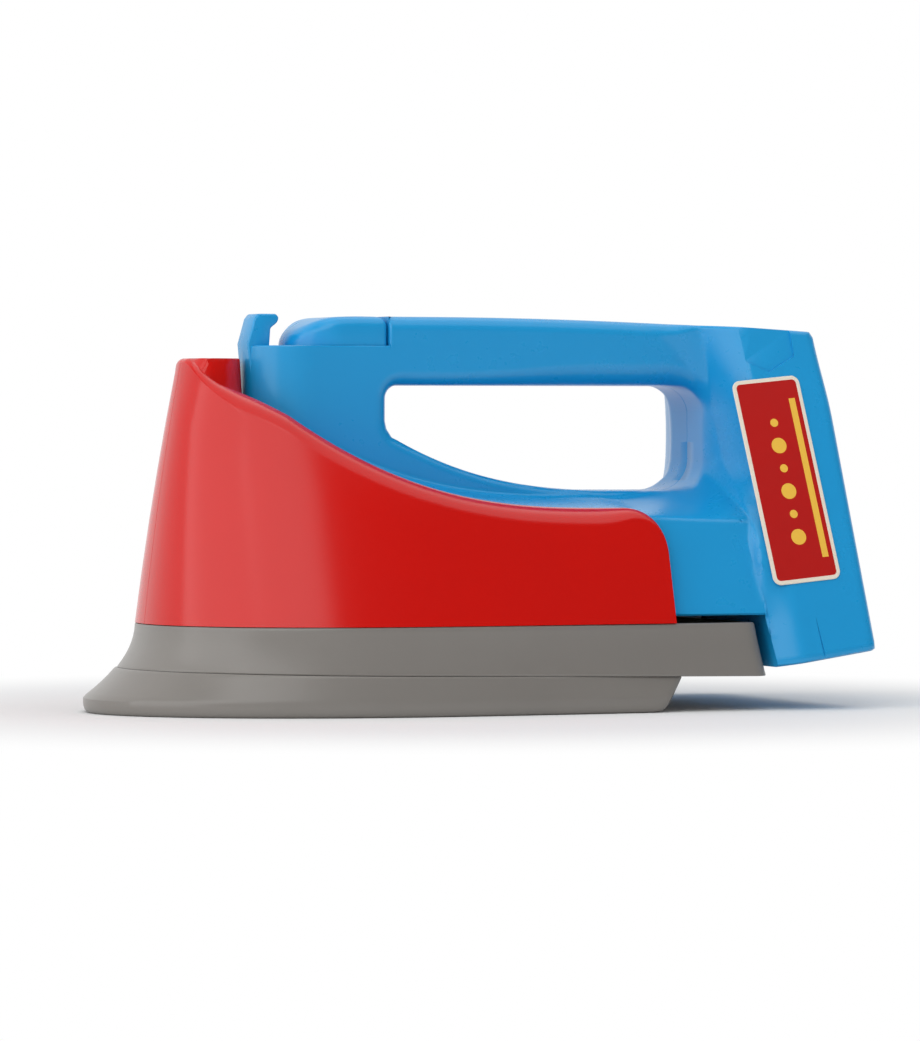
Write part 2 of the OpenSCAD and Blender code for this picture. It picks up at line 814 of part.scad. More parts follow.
module sticker_plan(r) {
    square([sticker_width, sticker_height - 2 * r], center = true);
    square([sticker_width - 2 * r, sticker_height], center = true);
    for (x = [-1, 1], y = [-1, 1])
        translate([x * (sticker_width / 2 - r), y * (sticker_height / 2 - r)]) circle(r = r);
}

soleplate();
body_left();
body_right();
handle_left();
handle_right();
thumb_button();
button_spring();
handle_screws();
body_screw();
sole_screws();
heel_sticker();
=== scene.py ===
import math

import bmesh
import bpy
import numpy as np
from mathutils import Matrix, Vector


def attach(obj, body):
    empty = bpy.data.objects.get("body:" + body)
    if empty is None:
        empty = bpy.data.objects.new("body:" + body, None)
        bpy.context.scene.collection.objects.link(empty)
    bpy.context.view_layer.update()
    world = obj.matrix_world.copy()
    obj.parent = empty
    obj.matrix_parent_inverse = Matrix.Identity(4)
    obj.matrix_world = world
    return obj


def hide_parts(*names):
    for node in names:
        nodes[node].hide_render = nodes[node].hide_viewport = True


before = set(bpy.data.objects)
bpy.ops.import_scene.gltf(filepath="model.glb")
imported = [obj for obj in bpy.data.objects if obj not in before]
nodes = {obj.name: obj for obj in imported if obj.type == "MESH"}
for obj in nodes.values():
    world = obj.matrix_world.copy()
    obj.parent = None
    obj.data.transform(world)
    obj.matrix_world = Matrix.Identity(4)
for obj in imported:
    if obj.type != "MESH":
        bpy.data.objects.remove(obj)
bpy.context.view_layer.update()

# Sizes are in millimetres from the tip of the sole, as in the part's source, and
# become metres about the middle of the iron when a piece is placed.
LENGTH = 181.0
WALL = 2.2
GAP = 0.3
SEAM = 0.14  # how far the edges are set in where two halves meet
SCREW_RADIUS = 3.1
# grey base
BASE_TOP = 20.5
BAND_TOP = 8.0
SKIRT_BACK = 152.0
SKIRT_HALF = 44.0
SOLE_HALF = 45.5
SOLE_TIP = 0.9
SOLE_RUN = 72.0
SOLE_END = 127.5
LIP_REACH = 14.3
LIP_EDGE = 3.6
CREASE = 0.4
CREASE_RISE = 2.3
# red body
BLUNT = 2.2  # exponent of the nose's outline; 2 would be an ellipse
NOSE_RUN = 60.0
NOSE_TOP = 82.0
SIDE_SLOPE = math.tan(math.radians(16.7))
SWOOP_START = 34.5
SWOOP_JOIN = 41.5
SWOOP_HIGH = 74.5
SWOOP_LOW = 47.3
SWOOP_END = 118.0
TURN_START = 112.0  # the body's sections turn square across behind it
BODY_END = 130.5
BODY_CORNER = 9.0
SHOULDER = 4.5
NOSE_SHOULDER = 1.2
# blue handle
GRIP_HALF = 12.5
BLOCK_FRONT = 38.5
BLOCK_FOOT = 66.0
LEDGE = 85.0
LEDGE_END = 70.4
HANDLE_TOP = 91.8
TOP_END = 173.2
OPEN_FRONT = 70.0
OPEN_BACK = 150.6
OPEN_TOP = 75.8
FLOOR_LOW = 51.0
FLOOR_RISE = 13.7
FLOOR_RUN = 64.0
SADDLE_START = 46.0
SADDLE_END = 121.5
WALL_FRONT = 131.2
WALL_BACK = 154.9
WALL_FOOT = 22.2
HEEL_FRONT = 157.0
HEEL_FRONT_LEAN = math.tan(math.radians(4.7))
HEEL_BACK_LEAN = 0.0752
HEEL_FOOT = 10.2
HEEL_TILT = 3.6
HEEL_CORNER = 13.8  # height of the lower rear corner
HEEL_HALF = 45.0
HEEL_DRAW_IN = 24.0  # over HEEL_RISE
HEEL_RISE = 81.6
# thumb button
CAP_FRONT = 47.9
CAP_BACK = 70.15
CAP_HALF = 11.7
CAP_FOOT = 84.7
CAP_ROUND = 2.6


def metres(x, y, z):
    return ((x - LENGTH / 2) * 0.001, y * 0.001, z * 0.001)


# ---- hand tools ------------------------------------------------------------
def deselect_all():
    if bpy.context.object and bpy.context.object.mode != "OBJECT":
        bpy.ops.object.mode_set(mode="OBJECT")
    bpy.ops.object.select_all(action="DESELECT")


def pick(piece):
    deselect_all()
    piece.select_set(True)
    bpy.context.view_layer.objects.active = piece


def name_piece(name):
    piece = bpy.context.object
    piece.name = name
    piece.data.name = name
    return piece


def skin_rings(name, rings, close_first=True, close_last=True):
    """A circle is laid on the first ring and extruded from ring to ring."""
    deselect_all()
    bpy.ops.mesh.primitive_circle_add(vertices=len(rings[0]), fill_type="NOTHING")
    piece = name_piece(name)
    bpy.ops.object.mode_set(mode="EDIT")
    bpy.ops.mesh.select_mode(type="EDGE")
    bpy.ops.mesh.select_all(action="SELECT")
    shell = bmesh.from_edit_mesh(piece.data)
    shell.verts.ensure_lookup_table()
    row = list(range(len(rings[0])))
    for i, spot in zip(row, rings[0]):
        shell.verts[i].co = metres(*spot)
    first = list(row)
    for ring in rings[1:]:
        bpy.ops.mesh.extrude_edges_move()
        shell = bmesh.from_edit_mesh(piece.data)
        shell.verts.index_update()
        shell.verts.ensure_lookup_table()
        fresh = []
        for i in row:
            v = shell.verts[i]
            ends = [e.other_vert(v) for e in v.link_edges]
            fresh.append(next(end.index for end in ends if end.select))
        for i, spot in zip(fresh, ring):
            shell.verts[i].co = metres(*spot)
        row = fresh
    for close, loop in ((close_first, first), (close_last, row)):
        if not close:
            continue
        bpy.ops.mesh.select_all(action="DESELECT")
        bpy.ops.mesh.select_mode(type="VERT")
        shell = bmesh.from_edit_mesh(piece.data)
        shell.verts.ensure_lookup_table()
        for i in loop:
            shell.verts[i].select_set(True)
        shell.select_flush(True)
        bpy.ops.mesh.select_mode(type="EDGE")
        bpy.ops.mesh.edge_face_add()
    bpy.ops.mesh.select_all(action="SELECT")
    bpy.ops.mesh.remove_doubles(threshold=0.000004)
    bpy.ops.mesh.normals_make_consistent(inside=False)
    bpy.ops.object.mode_set(mode="OBJECT")
    return piece


def smooth(piece, angle):
    pick(piece)
    bpy.ops.object.shade_smooth_by_angle(angle=math.radians(angle))


def cut(piece, cutter):
    pick(piece)
    tool = piece.modifiers.new("cut", "BOOLEAN")
    tool.operation = "DIFFERENCE"
    tool.solver = "EXACT"
    tool.object = cutter
    bpy.ops.object.modifier_apply(modifier=tool.name)
    bpy.data.objects.remove(cutter)


def bore(piece, x, y, z, depth, across=False):
    """A round screw recess, upright or across."""
    deselect_all()
    turn = (math.pi / 2, 0, 0) if across else (0, 0, 0)
    bpy.ops.mesh.primitive_cylinder_add(vertices=48, radius=SCREW_RADIUS * 0.001, depth=depth * 0.001,
                                        location=metres(x, y, z), rotation=turn)
    hole = bpy.context.object
    bpy.ops.object.transform_apply(location=True, rotation=True)
    cut(piece, hole)


def clean_skin(piece):
    """Slivers that the cuts leave are dissolved."""
    pick(piece)
    bpy.ops.object.mode_set(mode="EDIT")
    bpy.ops.mesh.select_all(action="SELECT")
    bpy.ops.mesh.dissolve_degenerate(threshold=0.00002)
    bpy.ops.mesh.normals_make_consistent(inside=False)
    bpy.ops.object.mode_set(mode="OBJECT")


def round_edges(piece, width, segments, angle):
    pick(piece)
    tool = piece.modifiers.new("edges", "BEVEL")
    tool.width = width * 0.001
    tool.segments = segments
    tool.limit_method = "ANGLE"
    tool.angle_limit = math.radians(angle)
    bpy.ops.object.modifier_apply(modifier=tool.name)


def prism(name, outline, y0, y1):
    """A side outline in x and z, extruded across."""
    return skin_rings(name, [[(x, y0, z) for x, z in outline], [(x, y1, z) for x, z in outline]])


def mirror_copy(piece, name):
    """The other half, with its own mesh."""
    pick(piece)
    bpy.ops.object.duplicate(linked=False)
    other = name_piece(name)
    bpy.ops.object.mode_set(mode="EDIT")
    bpy.ops.mesh.select_all(action="SELECT")
    bpy.ops.transform.resize(value=(1, -1, 1), center_override=(0, 0, 0))
    bpy.ops.mesh.normals_make_consistent(inside=False)
    bpy.ops.object.mode_set(mode="OBJECT")
    return other


# ---- curves of the iron ----------------------------------------------------
def ease(t):
    t = np.clip(t, 0, 1)
    return t * t * (3 - 2 * t)


def knots(x, xs, ys):
    """Smooth curve through a few measured points."""
    xs, ys = np.asarray(xs, float), np.asarray(ys, float)
    slope = np.gradient(ys, xs)
    x = np.clip(np.asarray(x, float), xs[0], xs[-1])
    k = np.clip(np.searchsorted(xs, x) - 1, 0, len(xs) - 2)
    h = xs[k + 1] - xs[k]
    t = (x - xs[k]) / h
    return ((2 * t**3 - 3 * t**2 + 1) * ys[k] + (t**3 - 2 * t**2 + t) * h * slope[k]
            + (-2 * t**3 + 3 * t**2) * ys[k + 1] + (t**3 - t**2) * h * slope[k + 1])


def bullet_half(x, nose, run, half, n):
    t = np.clip((x - nose) / run, 0, 1)
    return half * (1 - (1 - t) ** n) ** (1 / n)


def nose_x(z):
    """The nose leans back and bows out a little."""
    up = z - BASE_TOP
    return LIP_REACH + 0.105 * up + 0.0007 * up * up


def side_half(z):
    return SKIRT_HALF - 0.2 - (z - BASE_TOP) * SIDE_SLOPE


def taper(x, z):
    """The sides draw in a little behind the nose."""
    start = nose_x(z) + NOSE_RUN
    return 4 * (max(0.0, x - start) / (BODY_END + 27 - start)) ** 1.5


def body_half(x, z):
    return float(bullet_half(x, nose_x(z), NOSE_RUN, side_half(z), BLUNT)) - taper(x, z)


def swoop(x):
    t = np.clip((np.asarray(x, float) - SWOOP_START) / (SWOOP_END - SWOOP_START), 0, 1)
    return SWOOP_LOW + (SWOOP_HIGH - SWOOP_LOW) * (1 - t) ** 2.7


def body_top(x):
    """Height of the shell's upper edge: steep round the nose, the long swoop, the back corner."""
    if x <= SWOOP_JOIN:
        return float(knots(x, [23.6, 24.6, 25.6, 27.1, 29, 32, 35, 38.3, SWOOP_JOIN],
                           [NOSE_TOP, 79.6, 77.9, 76.3, 75.1, 73.6, 72.2, 70.5, float(swoop(SWOOP_JOIN))]))
    if x <= BODY_END - BODY_CORNER:
        return float(swoop(x))
    drop = BODY_CORNER**2 - (x - BODY_END + BODY_CORNER) ** 2
    return SWOOP_LOW - BODY_CORNER + math.sqrt(max(0.0, drop))


def nose_plateau(x, y, edge_height):
    """The flat top of the nose is a tongue that ends at the handle's block; round it the top falls away."""
    start, length, half, falls_over = 25, 12.5, 7, 2.2
    reach = 1 - min(1.0, (max(0.0, x - start) / length) ** 2)
    share = 1 - float(ease((abs(y) - half * math.sqrt(reach)) / falls_over))
    return edge_height + max(0.0, NOSE_TOP - edge_height) * share


def block_half(x):
    """Half width of the handle's block, whose front is round."""
    ahead = np.clip(BLOCK_FRONT + GRIP_HALF - np.asarray(x, float), 0, GRIP_HALF)
    return np.sqrt(np.maximum(0, GRIP_HALF**2 - ahead**2))


def saddle_half(x):
    """Where the blue saddle meets the red shoulder."""
    narrow = float(block_half(x))
    wide = body_half(x, float(swoop(x))) - SHOULDER
    return narrow + max(0.0, wide - narrow) * float(ease((x - 40) / 14))


def top_line(x):
    """The grip's top is level at the front and bends down towards the heel."""
    return HANDLE_TOP - np.maximum(0, np.asarray(x, float) - 80) ** 2 / 2700


def heel_half(z):
    return HEEL_HALF - (np.asarray(z, float) - HEEL_FOOT) * HEEL_DRAW_IN / HEEL_RISE


def heel_back(z):
    """The back edge leans in, and a little more near its top."""
    z = np.asarray(z, float)
    return LENGTH - (z - HEEL_CORNER) * HEEL_BACK_LEAN - 1.1 * ease((z - 68) / 20)


def heel_front(z):
    return HEEL_FRONT - (np.asarray(z, float) - HEEL_CORNER) * HEEL_FRONT_LEAN


def crease_x(z):
    """Where the front of the back leg turns into its side."""
    return knots(z, [40, 47, 53, 60, 70, 76, 80, 86, 91],
                 [138, 146, 148.9, 150, 149.6, 147.8, 145.5, 140.6, 133])


def valley_x(z):
    """The line where the leg and the low wall meet the front of the heel."""
    return knots(z, [8, 20, 30.7, 60, 90.7, 95], [155.6, 154.8, 153.9, 152.7, 147.7, 147.1])


def valley_half(z):
    """Half width of the handle at that line."""
    return knots(z, [8, 20, 46, 50, 54, 58, 62, 70, 80, 95],
                 [42.4, 39, 30.6, 25.6, 20.2, 16.7, 15.5, 14.6, 14.1, 13.8])


def heel_foot(x):
    return HEEL_FOOT + (np.asarray(x, float) - HEEL_FRONT) * HEEL_TILT / (LENGTH - HEEL_FRONT)


# ---- materials -------------------------------------------------------------
def maths(tree, kind, *values):
    """A math node: numbers are typed in and sockets are linked."""
    node = tree.nodes.new("ShaderNodeMath")
    node.operation = kind
    for slot, value in zip(node.inputs, values):
        if isinstance(value, (int, float)):
            slot.default_value = value
        else:
            tree.links.new(value, slot)
    return node.outputs[0]


def moulded_group():
    """Faint waviness and handling marks of a moulded plastic face."""
    group = bpy.data.node_groups.new("moulded_face", "ShaderNodeTree")
    face = group.interface
    for label, value in (("Base", 0.3), ("Spread", 0.05), ("Grain", 2500.0), ("Depth", 0.05)):
        face.new_socket(name=label, in_out="INPUT", socket_type="NodeSocketFloat").default_value = value
    face.new_socket(name="Roughness", in_out="OUTPUT", socket_type="NodeSocketFloat")
    face.new_socket(name="Normal", in_out="OUTPUT", socket_type="NodeSocketVector")
    face.new_socket(name="Mask", in_out="OUTPUT", socket_type="NodeSocketFloat")
    nd, ln = group.nodes, group.links
    ins, outs = nd.new("NodeGroupInput"), nd.new("NodeGroupOutput")
    place = nd.new("ShaderNodeTexCoord")
    cloud, fine, marks = [nd.new("ShaderNodeTexNoise") for _ in range(3)]
    cloud.inputs["Scale"].default_value = 38
    cloud.inputs["Detail"].default_value = 4
    fine.inputs["Detail"].default_value = 2
    marks.inputs["Scale"].default_value = 420
    marks.inputs["Detail"].default_value = 5
    for tex in (cloud, fine, marks):
        ln.new(place.outputs["Object"], tex.inputs["Vector"])
    ln.new(ins.outputs["Grain"], fine.inputs["Scale"])
    mean = maths(group, "MULTIPLY", maths(group, "ADD", cloud.outputs["Fac"], marks.outputs["Fac"]), 0.5)
    centred = maths(group, "SUBTRACT", mean, 0.5)
    rough = maths(group, "MULTIPLY_ADD", centred, ins.outputs["Spread"], ins.outputs["Base"])
    ln.new(rough, outs.inputs["Roughness"])
    bump = nd.new("ShaderNodeBump")
    bump.inputs["Distance"].default_value = 0.0001
    ln.new(ins.outputs["Depth"], bump.inputs["Strength"])
    ln.new(fine.outputs["Fac"], bump.inputs["Height"])
    ln.new(bump.outputs["Normal"], outs.inputs["Normal"])
    ln.new(cloud.outputs["Fac"], outs.inputs["Mask"])
    return group


MOULDED = moulded_group()


def blank_material(name, rough, spread, grain, depth):
    """A new material with the moulded face on it: its tree, its shader and the face."""
    mat = bpy.data.materials.new(name)
    mat.use_nodes = True
    tree = mat.node_tree
    skin = tree.nodes["Principled BSDF"]
    face = tree.nodes.new("ShaderNodeGroup")
    face.node_tree = MOULDED
    for label, value in (("Base", rough), ("Spread", spread), ("Grain", grain), ("Depth", depth)):
        face.inputs[label].default_value = value
    tree.links.new(face.outputs["Roughness"], skin.inputs["Roughness"])
    tree.links.new(face.outputs["Normal"], skin.inputs["Normal"])
    return mat, tree, skin, face


def over(tree, low, high, mask):
    """The high colour laid on the low one where the mask is 1."""
    mix = tree.nodes.new("ShaderNodeMix")
    mix.data_type = "RGBA"
    tree.links.new(mask, mix.inputs["Factor"])
    for slot, value in (("A", low), ("B", high)):
        if isinstance(value, tuple):
            mix.inputs[slot].default_value = (*value, 1)
        else:
            tree.links.new(value, mix.inputs[slot])
    return mix.outputs["Result"]


def moulded_plastic(name, colour, shade, rough, spread, grain, depth):
    mat, tree, skin, face = blank_material(name, rough, spread, grain, depth)
    tree.links.new(over(tree, colour, shade, face.outputs["Mask"]), skin.inputs["Base Color"])
    skin.inputs["IOR"].default_value = 1.5
    return mat


def plated_steel(name, colour, rough):
    mat, tree, skin, face = blank_material(name, rough, 0.2, 6000, 0.1)
    shade = tuple(c * 0.8 for c in colour)
    tree.links.new(over(tree, colour, shade, face.outputs["Mask"]), skin.inputs["Base Color"])
    skin.inputs["Metallic"].default_value = 1
    return mat


def linear(r, g, b):
    def one(c):
        c /= 255
        return c / 12.92 if c <= 0.04045 else ((c + 0.055) / 1.055) ** 2.4
    return one(r), one(g), one(b)


red_plastic = moulded_plastic("red_moulded_plastic", linear(206, 11, 1), linear(198, 9, 1),
                              0.2, 0.05, grain=2600, depth=0.06)
blue_plastic = moulded_plastic("blue_moulded_plastic", linear(24, 154, 214), linear(20, 148, 208),
                               0.28, 0.08, grain=1500, depth=0.03)
grey_plastic = moulded_plastic("grey_moulded_plastic", linear(130, 126, 121), linear(124, 120, 115),
                               0.3, 0.1, grain=1900, depth=0.12)
screw_steel = plated_steel("zinc_plated_screw", (0.55, 0.55, 0.57), 0.35)
spring_steel = plated_steel("spring_wire", (0.6, 0.6, 0.62), 0.28)


def sticker_print():
    """Printed film: a cream edge, a red field, a column of yellow discs and a plain bar."""
    mat, tree, skin, face = blank_material("printed_label", 0.32, 0.12, 5200, 0.05)
    place = tree.nodes.new("ShaderNodeTexCoord")
    at = Vector(metres(*STICKER_AT))

    def calc(kind, *values):
        return maths(tree, kind, *values)

    def along(axis):
        """Distance from the sticker's middle along one of its sides, in millimetres."""
        dot = tree.nodes.new("ShaderNodeVectorMath")
        dot.operation = "DOT_PRODUCT"
        tree.links.new(place.outputs["Object"], dot.inputs[0])
        dot.inputs[1].default_value = axis
        return calc("MULTIPLY_ADD", dot.outputs["Value"], 1000.0, -1000.0 * at.dot(axis))

    def length(a, b):
        return calc("SQRT", calc("ADD", calc("MULTIPLY", a, a), calc("MULTIPLY", b, b)))

    u, v = along(STICKER_U), along(STICKER_V)
    # the cream edge lies outside a red field with round corners
    field_half, field_tall, field_corner = 6.7, 23.0, 1.05
    past_u = calc("MAXIMUM", calc("SUBTRACT", calc("ABSOLUTE", u), field_half), 0.0)
    past_v = calc("MAXIMUM", calc("SUBTRACT", calc("ABSOLUTE", v), field_tall), 0.0)
    border = calc("GREATER_THAN", length(past_u, past_v), field_corner)
    # six discs in a column, large and small by turns
    pitch, lowest, big, shrink = 5.6, 14.0, 1.9, 0.9
    step = calc("DIVIDE", calc("ADD", v, lowest), pitch)
    row = calc("ROUND", step)
    off = calc("MULTIPLY", calc("SUBTRACT", step, row), pitch)
    size = calc("SUBTRACT", big, calc("MULTIPLY", calc("MODULO", calc("ABSOLUTE", row), 2.0), shrink))
    in_rows = calc("LESS_THAN", calc("ABSOLUTE", calc("SUBTRACT", row, 2.5)), 2.6)
    disc = calc("MULTIPLY", calc("LESS_THAN", length(u, off), size), in_rows)
    # the bar runs beside them
    bar_left, bar_right, bar_tall = 5.0, 6.6, 19.5
    bar = calc("MULTIPLY", calc("GREATER_THAN", u, bar_left), calc("LESS_THAN", u, bar_right))
    bar = calc("MULTIPLY", bar, calc("LESS_THAN", calc("ABSOLUTE", v), bar_tall))
    yellow = calc("MAXIMUM", disc, bar)

    field = over(tree, linear(188, 15, 9), linear(178, 12, 7), face.outputs["Mask"])
    printed = over(tree, field, linear(240, 190, 70), yellow)
    tree.links.new(over(tree, printed, linear(233, 222, 205), border), skin.inputs["Base Color"])
    return mat


def give(piece, mat):
    piece.data.materials.clear()
    piece.data.materials.append(mat)


# ---- base ------------------------------------------------------------------
def outline(nose, run, half, n, back, back_half, corner):
    """Closed outline seen from above: the blunt nose, the narrowing sides and the back."""
    half_line = []
    for t in np.linspace(0, math.pi / 2, 49):
        half_line.append((nose + run * (1 - max(0, math.cos(t)) ** (2 / n)), half * math.sin(t) ** (2 / n)))
    for s in np.linspace(0, 1, 26)[1:]:
        x = nose + run + (back - corner - nose - run) * s
        half_line.append((x, half - (half - back_half) * s**1.5))
    for t in np.linspace(0, math.pi / 2, 7)[1:]:
        half_line.append((back - corner + corner * math.sin(t), back_half - corner + corner * math.cos(t)))
    for s in np.linspace(0, 1, 7)[1:]:
        half_line.append((back, (back_half - corner) * (1 - s)))
    return [(x, -y) for x, y in half_line] + [(x, y) for x, y in half_line[-2:0:-1]]


def sole_line(inset, back, corner):
    half = SOLE_HALF - inset
    return outline(SOLE_TIP + inset, SOLE_RUN, half, 2.0, back - inset, SOLE_HALF - 2 - inset, corner)


def skirt_line(inset, back, corner):
    half = SKIRT_HALF - inset
    return outline(LIP_REACH + inset, NOSE_RUN, half, BLUNT, back - inset, SKIRT_HALF - 4 - inset, corner)


def lifted(x, z):
    """The crease between band and skirt climbs towards the nose, and the rest of the side with it."""
    rise = CREASE_RISE * (1 - min(1.0, max(0.0, x / SKIRT_BACK)))
    if z <= BAND_TOP:
        return z * (BAND_TOP + rise) / BAND_TOP
    return BASE_TOP - (BASE_TOP - z) * (BASE_TOP - BAND_TOP - rise) / (BASE_TOP - BAND_TOP)


def mixed(low, high, z):
    """A ring between the sole's outline and the skirt's, which flares fast above the lip's edge."""
    ring = []
    for p, q in zip(low, high):
        h = lifted(p[0], z)
        f = 1 - (1 - min(1, max(0, (h - LIP_EDGE) / (BASE_TOP - LIP_EDGE)))) ** 2
        ring.append((p[0] + (q[0] - p[0]) * f, p[1] + (q[1] - p[1]) * f, h))
    return ring


def band_ring(z, inset=0.0):
    """The band round the sole; its back leans out behind the sole's rounded edge."""
    corner = 3.0
    back = SOLE_END + z * 5 / 8 - (0.6 if z < 0.5 else 0)
    return mixed(sole_line(inset, back, corner), skirt_line(inset - CREASE, back, corner), z)


def skirt_ring(z, inset=0.0):
    """The skirt above the crease, which runs on behind the sole."""
    corner = 4.0
    back = SKIRT_BACK + 2.6 * (BASE_TOP - z) / (BASE_TOP - BAND_TOP)
    return mixed(sole_line(inset + CREASE, back, corner), skirt_line(inset, back, corner), z)


def make_soleplate():
    # the underside and its round edge, then the band up to the crease
    rings = [band_ring(z, inset) for z, inset in ((0, 8), (0, 2.2), (0, 1.4), (0.12, 0.8), (0.5, 0.35),
                                                  (1.1, 0.1), (1.8, 0))]
    rings += [band_ring(z) for z in (2.6, 3.2, 3.6, 3.9, 4.3, 4.8, 5.4, 6.0, 6.6, 7.1, 7.5)]
    rings += [band_ring(BAND_TOP - 0.25, 0.03), band_ring(BAND_TOP - 0.05, 0.16)]
    # the skirt up to its top rim, and down again inside
    rings += [skirt_ring(BAND_TOP, 0.5), skirt_ring(BAND_TOP + 0.05, 0.12), skirt_ring(BAND_TOP + 0.3, 0.0)]
    rings += [skirt_ring(z) for z in (8.8, 9.5, 10.3, 11.2, 12.2, 13.4, 14.7, 16.2, 17.8, 19.2,
                                      BASE_TOP - 0.45)]
    rings += [skirt_ring(BASE_TOP - 0.15, 0.1), skirt_ring(BASE_TOP, 0.4), skirt_ring(BASE_TOP, 2.3),
              skirt_ring(BASE_TOP - 0.3, 2.6), skirt_ring(BASE_TOP - 6, 2.7)]
    return skin_rings("soleplate_tray", rings)


base = make_soleplate()
for x in (47, 113.5):
    for y in (-7.2, 7.2):
        bore(base, x, y, 1.3, 6.2)
smooth(base, 34)
give(base, grey_plastic)
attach(base, "iron")
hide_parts("soleplate")


# ---- red body --------------------------------------------------------------
def body_station(x_low):
    """One section of the body's shell, square to its outline, at a place along the foot."""
    share = (x_low - nose_x(BASE_TOP)) / (BODY_END - nose_x(BASE_TOP))

    def at(z):
        x = nose_x(z) + (BODY_END - nose_x(z)) * share
        return x, max(0.0, body_half(x, z))

    # the station leans, so its height is found by going back and forth between edge and lean
    z_top = BASE_TOP
    for _ in range(30):
        z_top = body_top(at(z_top)[0])
    ax, aw = at(z_top)
    # n looks out of the shell, seen from above
    if share <= 0:
        n = np.array([-1.0, 0.0])
    else:
        next_x = ax + 0.05
        n = np.array([aw - body_half(next_x, z_top), next_x - ax])
        n /= np.linalg.norm(n)
        turn = float(ease((ax - TURN_START) / 14))
        n = n * (1 - turn) + np.array([0.0, 1.0]) * turn
        n /= np.linalg.norm(n)
    # the shoulder's radius grows behind the nose and runs out at the back
    grown = float(ease((ax - 23.5) / 10))
    left = min(1, max(0.1, (BODY_END - 0.8 - ax) / 14))
    r = NOSE_SHOULDER + (SHOULDER - NOSE_SHOULDER) * grown * left
    outer = []
    for f in (0, 0.012, 0.2, 0.4, 0.6, 0.8, 1.0):
        z = BASE_TOP + 0.1 + (z_top - r - BASE_TOP - 0.1) * f
        outer.append((*at(z), z))
    for t in np.linspace(0, math.pi / 2, 9)[1:]:
        inward = r - r * math.cos(t) - (r - r * math.sin(t)) * SIDE_SLOPE
        outer.append((ax - n[0] * inward, aw - n[1] * inward, z_top - r + r * math.sin(t)))
    # inner edge of the top: a slot before the block's round front, then the saddle's edge
    centre = np.array([BLOCK_FRONT + GRIP_HALF, 0.0])
    ray = np.array([ax, aw]) - centre
    slot = 1.4 * (1 - float(ease((ax - 23.7) / 6)))
    ahead = centre + ray / max(1e-6, np.linalg.norm(ray)) * (GRIP_HALF + GAP + slot)
    narrowest = GRIP_HALF + GAP if ax > 52 else 2.0
    beside = np.array([ax, max(narrowest, saddle_half(ax))])
    blend_in = float(ease((ax - 31) / 16))
    edge = ahead * (1 - blend_in) + beside * blend_in
    lip = np.array(outer[-1][:2])
    for f in (0.1, 0.25, 0.4, 0.55, 0.7, 0.85, 0.95, 1.0):
        p = lip + (edge - lip) * f
        level = z_top + (min(z_top, body_top(p[0])) - z_top) * (1 - blend_in)
        outer.append((p[0], p[1], nose_plateau(p[0], p[1], level) - (0.05 if f == 1.0 else 0)))
    high = outer[-1][2]
    low = min(z_top, high) - WALL
    outer.append((edge[0], edge[1], high - 0.5))
    outer.append((edge[0], edge[1], low))
    # inside, down to the foot
    top_edge = np.array([ax, aw])
    inner_edge = top_edge - n * min(WALL + 2.5, 0.9 * np.linalg.norm(top_edge - edge))
    outer.append((inner_edge[0], inner_edge[1], low - 0.5))
    foot_x, foot_w = at(BASE_TOP)
    shift = n * WALL
    outer.append((foot_x - shift[0], max(0.0, foot_w - shift[1]), BASE_TOP + 0.1))
    return outer


def body_places():
    """Places along the foot, close together round the nose and round the back corner."""
    nose = nose_x(BASE_TOP)
    span = BODY_END - nose
    last = 12  # the length of the back corner's stretch
    places = [nose + span * (i / 84) ** 2.1 for i in range(85)]
    places = [p for p in places if p < BODY_END - last]
    return places + list(BODY_END - last + last * np.sin(np.linspace(0, math.pi / 2, 16)))


def make_body(side, name):
    stations = [body_station(p) for p in body_places()]
    # where the two halves meet at the nose, the edge is set in a little so that the seam shows
    rings = [[(x + SEAM, 0.0, z) for x, w, z in stations[0]]]
    rings += [[(x, side * max(SEAM, w), z) for x, w, z in station] for station in stations]
    return skin_rings(name, rings)


body_left = make_body(-1, "body_shell_left")
body_right = make_body(1, "body_shell_right")
bore(body_right, 28.6, 36, 47.5, 60, across=True)
for piece, node in ((body_left, "body_left"), (body_right, "body_right")):
    smooth(piece, 32)
    give(piece, red_plastic)
    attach(piece, "iron")
    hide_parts(node)


# ---- blue handle -----------------------------------------------------------
def opening_floor(x):
    t = np.clip((np.asarray(x, float) - OPEN_FRONT) / FLOOR_RUN, 0, 1)
    return FLOOR_LOW + FLOOR_RISE * (1 - t) ** 2.8


def on(curve, x):
    """The point of a side view's curve at x."""
    return x, float(curve(x))


def saddle_line(x):
    return float(swoop(x)) - 0.2


def arc(cx, cz, r, start, end, n):
    turns = [math.radians(a) for a in np.linspace(start, end, n)]
    return [(cx + r * math.cos(a), cz + r * math.sin(a)) for a in turns]


def spread_points(points, n):
    """n points at even distance along a polyline, without its last point."""
    p = np.array(points, float)
    d = np.concatenate([[0], np.cumsum(np.linalg.norm(np.diff(p, axis=0), axis=1))])
    s = np.linspace(0, d[-1], n + 1)[:-1]
    return [(float(np.interp(v, d, p[:, 0])), float(np.interp(v, d, p[:, 1]))) for v in s]


# The contour of the hand opening, in stretches
SILL = OPEN_FRONT + 1.6
OPEN_LEFT = [on(opening_floor, SILL), (OPEN_FRONT + 0.4, 65.6), (OPEN_FRONT, 67.5), (OPEN_FRONT, 72.6)]
CORNER_TL = arc(OPEN_FRONT + 3.2, OPEN_TOP - 3.2, 3.2, 180, 90, 9)
CORNER_TR = arc(OPEN_BACK - 7, OPEN_TOP - 7, 7, 90, 8, 12)
OPEN_RIGHT = [(OPEN_BACK - 0.06, 68.0), (OPEN_BACK, 64.0), (OPEN_BACK, 58.5)]
CORNER_BR = arc(OPEN_BACK - 7.5, FLOOR_LOW + 7.5, 7.5, 0, -90, 16)


